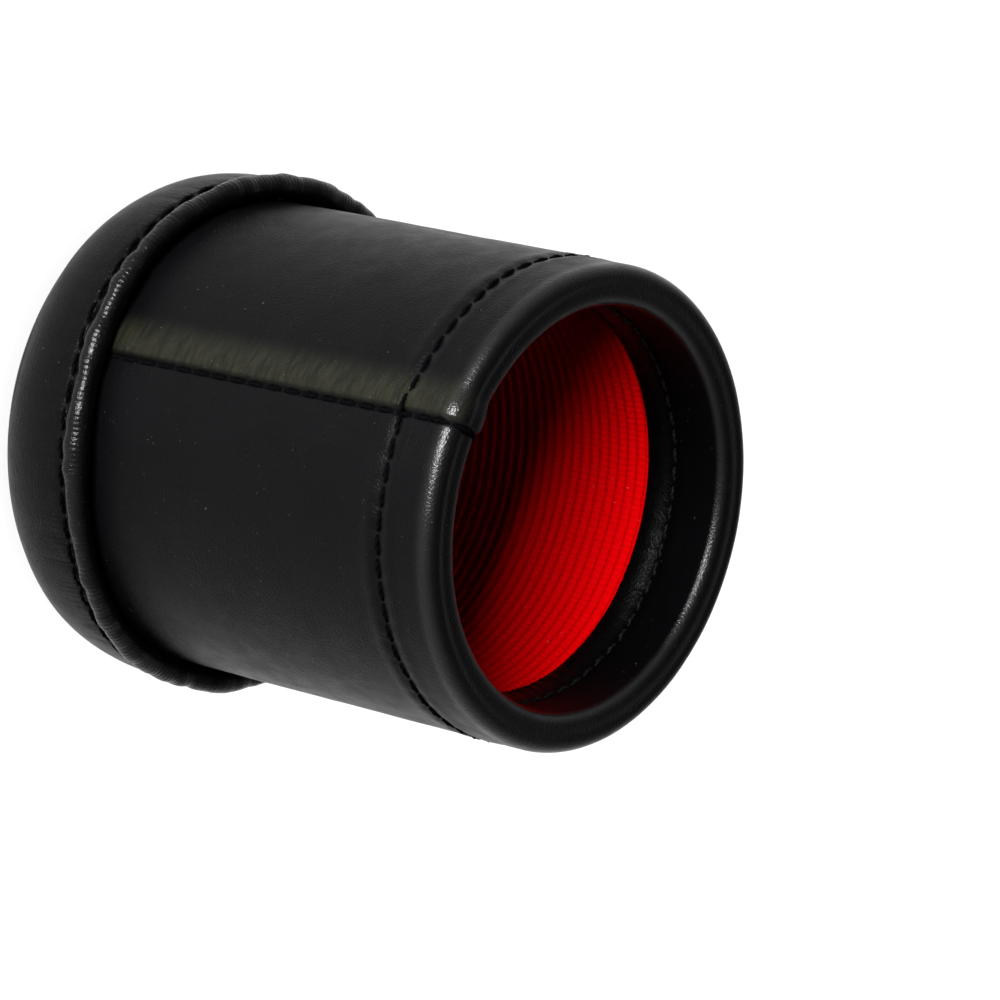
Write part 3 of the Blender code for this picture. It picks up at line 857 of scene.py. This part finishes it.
def seamLine(sink):
    # up the wall beside the lap, over the rim and down the turned-in band
    skin = bodySkin()[::-1]
    skin = skin[skin[:, 1] > bootHigh.z - 1 * mm]
    normals = -outlineNormals(skin, closed=False)
    turn = seamAngle(skin[:, 1])
    lift = seamLift(0) - sink
    reach = skin[:, 0] + normals[:, 0] * lift
    points = np.stack([reach * np.cos(turn), reach * np.sin(turn), skin[:, 1] + normals[:, 1] * lift], 1)
    outward = np.stack([normals[:, 0] * np.cos(turn), normals[:, 0] * np.sin(turn), normals[:, 1]], 1)
    return points, outward


print("stitches")
rimPitch = fullTurn * bodyRadius / rimRow["count"]
bandPitch = fullTurn * bodyPlan["mouthRadius"] / bandRow["count"]
bootPitch = fullTurn * bootRow["radius"] / bootRow["count"]
rowDepth = bodyPlan["rowGroove"] - 0.2 * mm
rimStitch = {"Spacing": rimPitch, "Length": 3.85 * mm, "Thread": 0.42 * mm, "Dip": 0.7 * mm,
             "Twists": 1.6, "Slant": 0.06, "Seed": 5}
bandStitch = {**rimStitch, "Spacing": bandPitch, "Length": 2.9 * mm, "Seed": 6}
bootStitch = {**rimStitch, "Spacing": bootPitch, "Length": 4.2 * mm, "Thread": 0.36 * mm,
              "Slant": 0.06, "Seed": 7}
seamStitch = {**rimStitch, "Spacing": 4.05 * mm, "Length": 3.75 * mm, "Dip": 0.75 * mm,
              "Slant": 0.02, "Seed": 9}
stitchRow("rim_stitches", *ringLine(rimRow, bodyRadius, 1, rowDepth, True), True,
          blackThread, rimStitch, "rim_needle_thread")
stitchRow("band_stitches", *ringLine(bandRow, bodyPlan["mouthRadius"], -1, rowDepth, True), True,
          bobbinThread, bandStitch, "rim_bobbin_thread")
stitchRow("boot_stitches", *ringLine(bootRow, bootRow["radius"], 1, -0.45 * mm, False), True,
          blackThread, bootStitch, "boot_thread")
stitchRow("seam_stitches", *seamLine(-0.3 * mm), False, blackThread, seamStitch, "side_seam_thread")


# Lining: ribbed cloth glued inside the tube, and a disc of it on the floor

liningPlan = {
    "ribPitch": 2.08 * mm,
    "ribDepth": 0.42 * mm,
    "thickness": 0.75 * mm,
    "around": 144,
    "rowsPerRib": 6,
    "discOver": 0.15 * mm,  # the disc reaches this far past the plain one, up to the ribs
    "discLift": 0.7 * mm,
    "discThickness": 0.68 * mm,
    "discAround": 200,
    "discRings": 84,
}


def ribbedTree():
    sizes = {"Radius": 0.0, "Foot": 0.0, "Top": 0.0, "Rib Pitch": 0.0, "Rib Depth": 0.0,
             "Around": 3, "Rows": 3, "Material": redCloth}
    tree, given = startTree("ribbedSleeve", sizes)
    grid = putNode(tree, "GeometryNodeMeshGrid", {"Size X": 1.0, "Size Y": 1.0, "Vertices X": given["Around"],
                                                  "Vertices Y": given["Rows"]}).outputs[0]
    place = putNode(tree, "GeometryNodeInputPosition").outputs[0]
    x, y, z = putNode(tree, "ShaderNodeSeparateXYZ", {0: place}).outputs
    turn = times(tree, x, fullTurn)
    tall = minus(tree, given["Top"], given["Foot"])
    height = plus(tree, given["Foot"], times(tree, plus(tree, y, 0.5), tall))
    cosine, sine = sums(tree, "COSINE", turn), sums(tree, "SINE", turn)
    around = putNode(tree, "ShaderNodeCombineXYZ", {"X": cosine, "Y": sine,
                                                    "Z": times(tree, height, 25.0)}).outputs[0]
    waver = putNode(tree, "ShaderNodeTexNoise", {"Vector": around, "Scale": 1.6, "Detail": 2.0}).outputs[0]
    waver = times(tree, minus(tree, waver, 0.5), 0.5)
    ribs = plus(tree, sums(tree, "DIVIDE", height, given["Rib Pitch"]), waver)
    crest = sums(tree, "ABSOLUTE", sums(tree, "SINE", times(tree, ribs, math.pi)))
    crest = sums(tree, "POWER", crest, 1.5)
    reach = minus(tree, given["Radius"], times(tree, crest, given["Rib Depth"]))
    wrapped = putNode(tree, "ShaderNodeCombineXYZ", {
        "X": times(tree, reach, cosine), "Y": times(tree, reach, sine), "Z": height}).outputs[0]
    sleeve = putNode(tree, "GeometryNodeSetPosition", {"Geometry": grid, "Position": wrapped}).outputs[0]
    sleeve = putNode(tree, "GeometryNodeMergeByDistance",
                     {"Geometry": sleeve, "Distance": 0.01 * mm}).outputs[0]
    endTree(tree, sleeve, given["Material"])
    return tree


def blankObject(name):
    obj = bpy.data.objects.new(name, bpy.data.meshes.new(name))
    bpy.context.scene.collection.objects.link(obj)
    return obj


def thicken(obj, thickness, offset):
    solid = obj.modifiers.new("thickness", "SOLIDIFY")
    solid.thickness = thickness
    solid.offset = offset
    return plainMesh(obj)


def makeLiningSleeve():
    plan = liningPlan
    tall = liningHigh.z - liningLow.z
    inner = liningHigh.x - plan["thickness"] - 0.05 * mm
    sleeve = runTree(blankObject("lining_sleeve_cloth"), ribbedTree(), {
        "Radius": inner, "Foot": liningLow.z, "Top": liningHigh.z, "Rib Pitch": plan["ribPitch"],
        "Rib Depth": plan["ribDepth"], "Around": plan["around"] + 1,
        "Rows": round(tall / plan["ribPitch"] * plan["rowsPerRib"]), "Material": redCloth})
    facing = sleeve.data.polygons[0]
    inward = facing.normal.x * facing.center.x + facing.normal.y * facing.center.y < 0
    if not inward:
        sleeve.data.flip_normals()
    thicken(sleeve, plan["thickness"], -1)
    dress(sleeve, redCloth, "red_cloth", "lining_sleeve")


def makeLiningFloor():
    plan = liningPlan
    radius = floorHigh.x + plan["discOver"]
    count, rings = plan["discAround"], plan["discRings"]
    turn = np.arange(count) * fullTurn / count
    reach = radius * (np.arange(rings) + 1) / rings
    x, y = np.outer(reach, np.cos(turn)), np.outer(reach, np.sin(turn))
    rib = np.abs(np.sin(math.pi * x / plan["ribPitch"])) ** 1.5 * plan["ribDepth"]
    z = floorLow.z + plan["discLift"] + rib
    points = np.stack([x, y, z], -1).reshape(-1, 3).tolist()
    points.append((0, 0, floorLow.z + plan["discLift"]))

    def ring(k):
        return [(k * count + i, k * count + (i + 1) % count) for i in range(count)]

    faces = [(a, c, d, b) for k in range(rings - 1) for (a, b), (c, d) in zip(ring(k), ring(k + 1))]
    faces += [(a, b, len(points) - 1) for a, b in ring(0)]
    cloth = meshObject("lining_floor_cloth", points, faces)
    thicken(cloth, plan["discThickness"], -1)
    dress(cloth, redDisc, "red_cloth", "lining_floor")


# Hidden pieces: boards, padding, cord, and the disc glued under the foot

boardPlan = {
    "around": 144,
    "tubeThickness": 2.4 * mm,
    "tubeRound": 0.4 * mm,
    "discRound": 0.3 * mm,
    "stripClimb": 34 * mm,
    "stripEdge": 0.05 * mm,
}


def makeBoards():
    plan = boardPlan
    angles = np.arange(plan["around"]) * fullTurn / plan["around"]
    edge = plan["tubeRound"]
    inside, outside = tubeHigh.x - plan["tubeThickness"], tubeHigh.x
    foot, top = tubeLow.z + edge, tubeHigh.z - edge
    tube = joinRuns(
        roundArc((inside + edge, foot), edge, 270, 180, 0.2 * mm),
        straight((inside, foot), (inside, top), 2 * mm),
        roundArc((inside + edge, top), edge, 180, 90, 0.2 * mm),
        roundArc((outside - edge, top), edge, 90, 0, 0.2 * mm),
        straight((outside, top), (outside, foot), 2 * mm),
        roundArc((outside - edge, foot), edge, 0, -90, 0.2 * mm),
    )

    def windings(rows, turn):
        # the edge of the paper strip that winds up the tube
        climb = tube[rows, 1] / plan["stripClimb"] + turn / fullTurn
        return -plan["stripEdge"] * bellCurve(np.remainder(climb, 1) - 0.5, 0.04)

    board = turnRound("core_tube_board", tube, angles, windings)
    dress(board, tubeBoard, "tube_board", "core_tube")
    edge = plan["discRound"]
    flat, foot, top = boardHigh.x - edge, boardLow.z, boardHigh.z
    plate = joinRuns(
        straight((2 * mm, top), (flat, top), 6 * mm),
        roundArc((flat, top - edge), edge, 90, 0, 0.15 * mm),
        roundArc((flat, foot + edge), edge, 0, -90, 0.15 * mm),
        straight((flat, foot), (2 * mm, foot), 6 * mm),
    )
    disc = turnRound("floor_board_disc", plate, angles, onAxis=True)
    dress(disc, tubeBoard, "tube_board", "floor_board")


paddingPlan = {"around": 180, "gap": 0.3 * mm, "skinGap": 0.35 * mm, "fill": 0.9}


def makePadding():
    plan = paddingPlan
    gap = plan["gap"]
    skin = bootPlan["thickness"] + plan["skinGap"]
    flat = bootPlan["radius"] - bootPlan["roundReach"]
    rise = bootPlan["shoulder"] - bootLow.z
    inner, lip = tubeHigh.x + gap, bodyRadius + gap
    top, seat, step = bootPlan["hemFoot"] - gap, tubeLow.z - gap, wrapLow.z - gap
    outline = joinRuns(
        straight((2 * mm, seat), (inner, seat), 4 * mm),
        straight((inner, seat), (inner, step), 1.5 * mm),
        straight((inner, step), (lip, step), 0.6 * mm),
        straight((lip, step), (lip, top), 1.5 * mm),
        straight((lip, top), (bootPlan["radius"] - skin, top), 0.6 * mm),
        roundArc((flat, bootPlan["shoulder"]), (bootPlan["roundReach"] - skin, rise - skin), -4, -90,
                 1 * mm, bootPlan["fullness"]),
        straight((flat, bootLow.z + skin), (2 * mm, bootLow.z + skin), 4 * mm),
    )
    angles = np.arange(plan["around"]) * fullTurn / plan["around"]
    foam = turnRound("foot_padding_foam", outline, angles, onAxis=True)
    dress(foam, paddingFoam, "foam", "foot_padding")


pipingPlan = {"strands": 3, "lays": 90, "spread": 0.27 * mm, "strandRadius": 0.3 * mm,
              "steps": 540, "sides": 8}


def makePipingCord():
    # strands laid round each other
    plan = pipingPlan
    steps, sides = plan["steps"], plan["sides"]
    turn = np.arange(steps) * fullTurn / steps
    ring = np.arange(sides) * fullTurn / sides
    points, faces = [], []
    for k in range(plan["strands"]):
        swing = turn * plan["lays"] + k * fullTurn / plan["strands"]
        r = beadCentre[0] + plan["spread"] * np.cos(swing)
        z = beadCentre[1] + plan["spread"] * np.sin(swing) + hemSway(beadCentre[1], turn)
        r = r[:, None] + plan["strandRadius"] * np.cos(ring)
        z = z[:, None] + plan["strandRadius"] * np.sin(ring)
        block = np.stack([r * np.cos(turn)[:, None], r * np.sin(turn)[:, None], z], -1).reshape(-1, 3)
        base = len(points)
        points += block.tolist()
        for i in range(steps):
            for j in range(sides):
                a, b = i * sides + j, i * sides + (j + 1) % sides
                c, d = (i + 1) % steps * sides + (j + 1) % sides, (i + 1) % steps * sides + j
                faces.append((base + a, base + d, base + c, base + b))
    cord = meshObject("piping_cord_strands", points, faces)
    dress(cord, cottonCord, "cotton_cord", "piping_cord")


solePlan = {"around": 240, "topRound": 0.35 * mm, "footRound": 0.6 * mm}


def makeSole():
    plan = solePlan
    r, top = soleHigh.x, soleHigh.z
    above, below = plan["topRound"], plan["footRound"]
    outline = joinRuns(
        straight((2 * mm, top), (r - above, top), 3 * mm),
        roundArc((r - above, top - above), above, 90, 0, 0.12 * mm),
        roundArc((r - below, below), below, 0, -90, 0.15 * mm),
        straight((r - below, 0), (2 * mm, 0), 1.5 * mm),
    )
    angles = np.arange(plan["around"]) * fullTurn / plan["around"]
    sole = turnRound("bottom_disc_leather", outline, angles, onAxis=True,
                     masks={label: unmarked for label in ("lap", "rub", "pull", "dull")})
    dress(sole, soleLeather, "sole_leather", "bottom_disc")


print("lining, boards, padding and sole")
makeBoards()
makeLiningSleeve()
makeLiningFloor()
makePadding()
makePipingCord()
makeSole()


# Studio: pale floor, soft lights, and the camera

studioPlan = {
    "floorSize": 6.0,
    "floorColour": (0.9, 0.9, 0.9),
    "worldColour": (0.92, 0.93, 0.95),
    "zenithColour": (0.12, 0.12, 0.125),
    "worldStrength": 0.85,
    "aim": (0, 0, 0.05),
}
# each light: degrees beside the camera, elevation, distance in m, size in m, and power in W
lightPlan = {
    "inner": (-13, 25, 0.9, (0.32, 0.32), 38),
    "key": (-14, 9, 0.9, (0.38, 0.38), 22),
    "top": (-13.98, 88, 1.0, (0.3, 0.3), 4.2),
    "side": (-18, 12, 0.9, (0.38, 0.28), 21),
    "fill": (20, 60, 1.2, (0.9, 0.9), 0.3),
    "floorWash": (0, 80, 2.2, (2.5, 2.5), 84),
    "floorShade": (0, 80, 2.2, (2.5, 2.5), 12),
}
cameraPlan = {
    "azimuth": 13.98, "elevation": 40.99, "distance": 0.91785, "aimHeight": 0.045,
    "aimRight": 0.001634, "aimUp": 0.028571, "roll": -102.74, "focal": 5.3188, "sensor": 36.0,
}


def directionFrom(azimuth, elevation):
    a, e = math.radians(azimuth), math.radians(elevation)
    return Vector((math.sin(a) * math.cos(e), -math.cos(a) * math.cos(e), math.sin(e)))


def makeCamera():
    plan = cameraPlan
    back = directionFrom(plan["azimuth"], plan["elevation"])
    base = Vector((0, 0, plan["aimHeight"]))
    eye = base + back * plan["distance"]
    side = Vector((0, 0, 1)).cross(back).normalized()
    above = back.cross(side)
    ahead = (base + side * plan["aimRight"] + above * plan["aimUp"] - eye).normalized()
    right = ahead.cross(Vector((0, 0, 1))).normalized()
    up = right.cross(ahead)
    c, s = math.cos(math.radians(plan["roll"])), math.sin(math.radians(plan["roll"]))
    axes = Matrix((c * right - s * up, s * right + c * up, -ahead)).transposed().to_4x4()
    data = bpy.data.cameras.new("camera")
    data.sensor_width = plan["sensor"]
    data.lens = plan["focal"] * plan["sensor"]
    data.clip_start = 0.01
    camera = bpy.data.objects.new("camera", data)
    camera.matrix_world = Matrix.Translation(eye) @ axes
    bpy.context.scene.collection.objects.link(camera)
    bpy.context.scene.camera = camera


def softLight(name, receivers):
    # lights only the pieces in its receivers' collection
    beside, elevation, distance, size, power = lightPlan[name]
    data = bpy.data.lights.new(name, "AREA")
    data.shape = "RECTANGLE"
    data.size, data.size_y = size
    data.energy = power
    light = bpy.data.objects.new(name, data)
    out = directionFrom(cameraPlan["azimuth"] + beside, elevation)
    facing = out.to_track_quat("Z", "Y").to_matrix().to_4x4()
    light.matrix_world = Matrix.Translation(Vector(studioPlan["aim"]) + out * distance) @ facing
    bpy.context.scene.collection.objects.link(light)
    light.light_linking.receiver_collection = receivers
    return light


def makeStudio():
    plan = studioPlan
    half = plan["floorSize"] / 2
    corners = [(-half, -half, 0), (half, -half, 0), (half, half, 0), (-half, half, 0)]
    floor = meshObject("studio_floor", corners, [(0, 1, 2, 3)])
    paper, tree, shader, place = startMaterial("palePaper", 0.9, 0.1)
    tint = blendColour(tree, noise(tree, place, 30, 2), (0.89, 0.89, 0.9), plan["floorColour"])
    tree.links.new(tint, shader.inputs["Base Color"])
    floor.data.materials.append(paper)
    floor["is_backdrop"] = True
    world = bpy.data.worlds.new("studio")
    world.use_nodes = True
    tree = world.node_tree
    sky = tree.nodes["Background"]
    way = putNode(tree, "ShaderNodeTexCoord").outputs["Generated"]
    height = putNode(tree, "ShaderNodeSeparateXYZ", {0: way}).outputs[2]
    glow = blendColour(tree, remap(tree, height, 0.3, 0.95, 0, 1), plan["worldColour"], plan["zenithColour"])
    tree.links.new(glow, sky.inputs["Color"])
    sky.inputs["Strength"].default_value = plan["worldStrength"]
    world.cycles_visibility.diffuse = False
    bpy.context.scene.world = world

    cupOnly = bpy.data.collections.new("cupOnly")
    liningOnly = bpy.data.collections.new("liningOnly")
    shellOnly = bpy.data.collections.new("shellOnly")
    floorOnly = bpy.data.collections.new("floorOnly")
    floorOnly.objects.link(floor)
    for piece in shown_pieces():
        cupOnly.objects.link(piece)
        if piece.name.startswith("lining"):
            liningOnly.objects.link(piece)
        else:
            shellOnly.objects.link(piece)
    for name, receivers in (("inner", liningOnly), ("key", shellOnly), ("top", cupOnly)):
        softLight(name, receivers).visible_glossy = False
    softLight("side", cupOnly).visible_diffuse = False
    softLight("fill", cupOnly)
    wash = softLight("floorWash", floorOnly)
    wash.light_linking.blocker_collection = floorOnly  # so nothing shades the floor from it
    softLight("floorShade", floorOnly)


print("studio")
makeStudio()
makeCamera()
bpy.context.scene.view_settings.view_transform = "Standard"
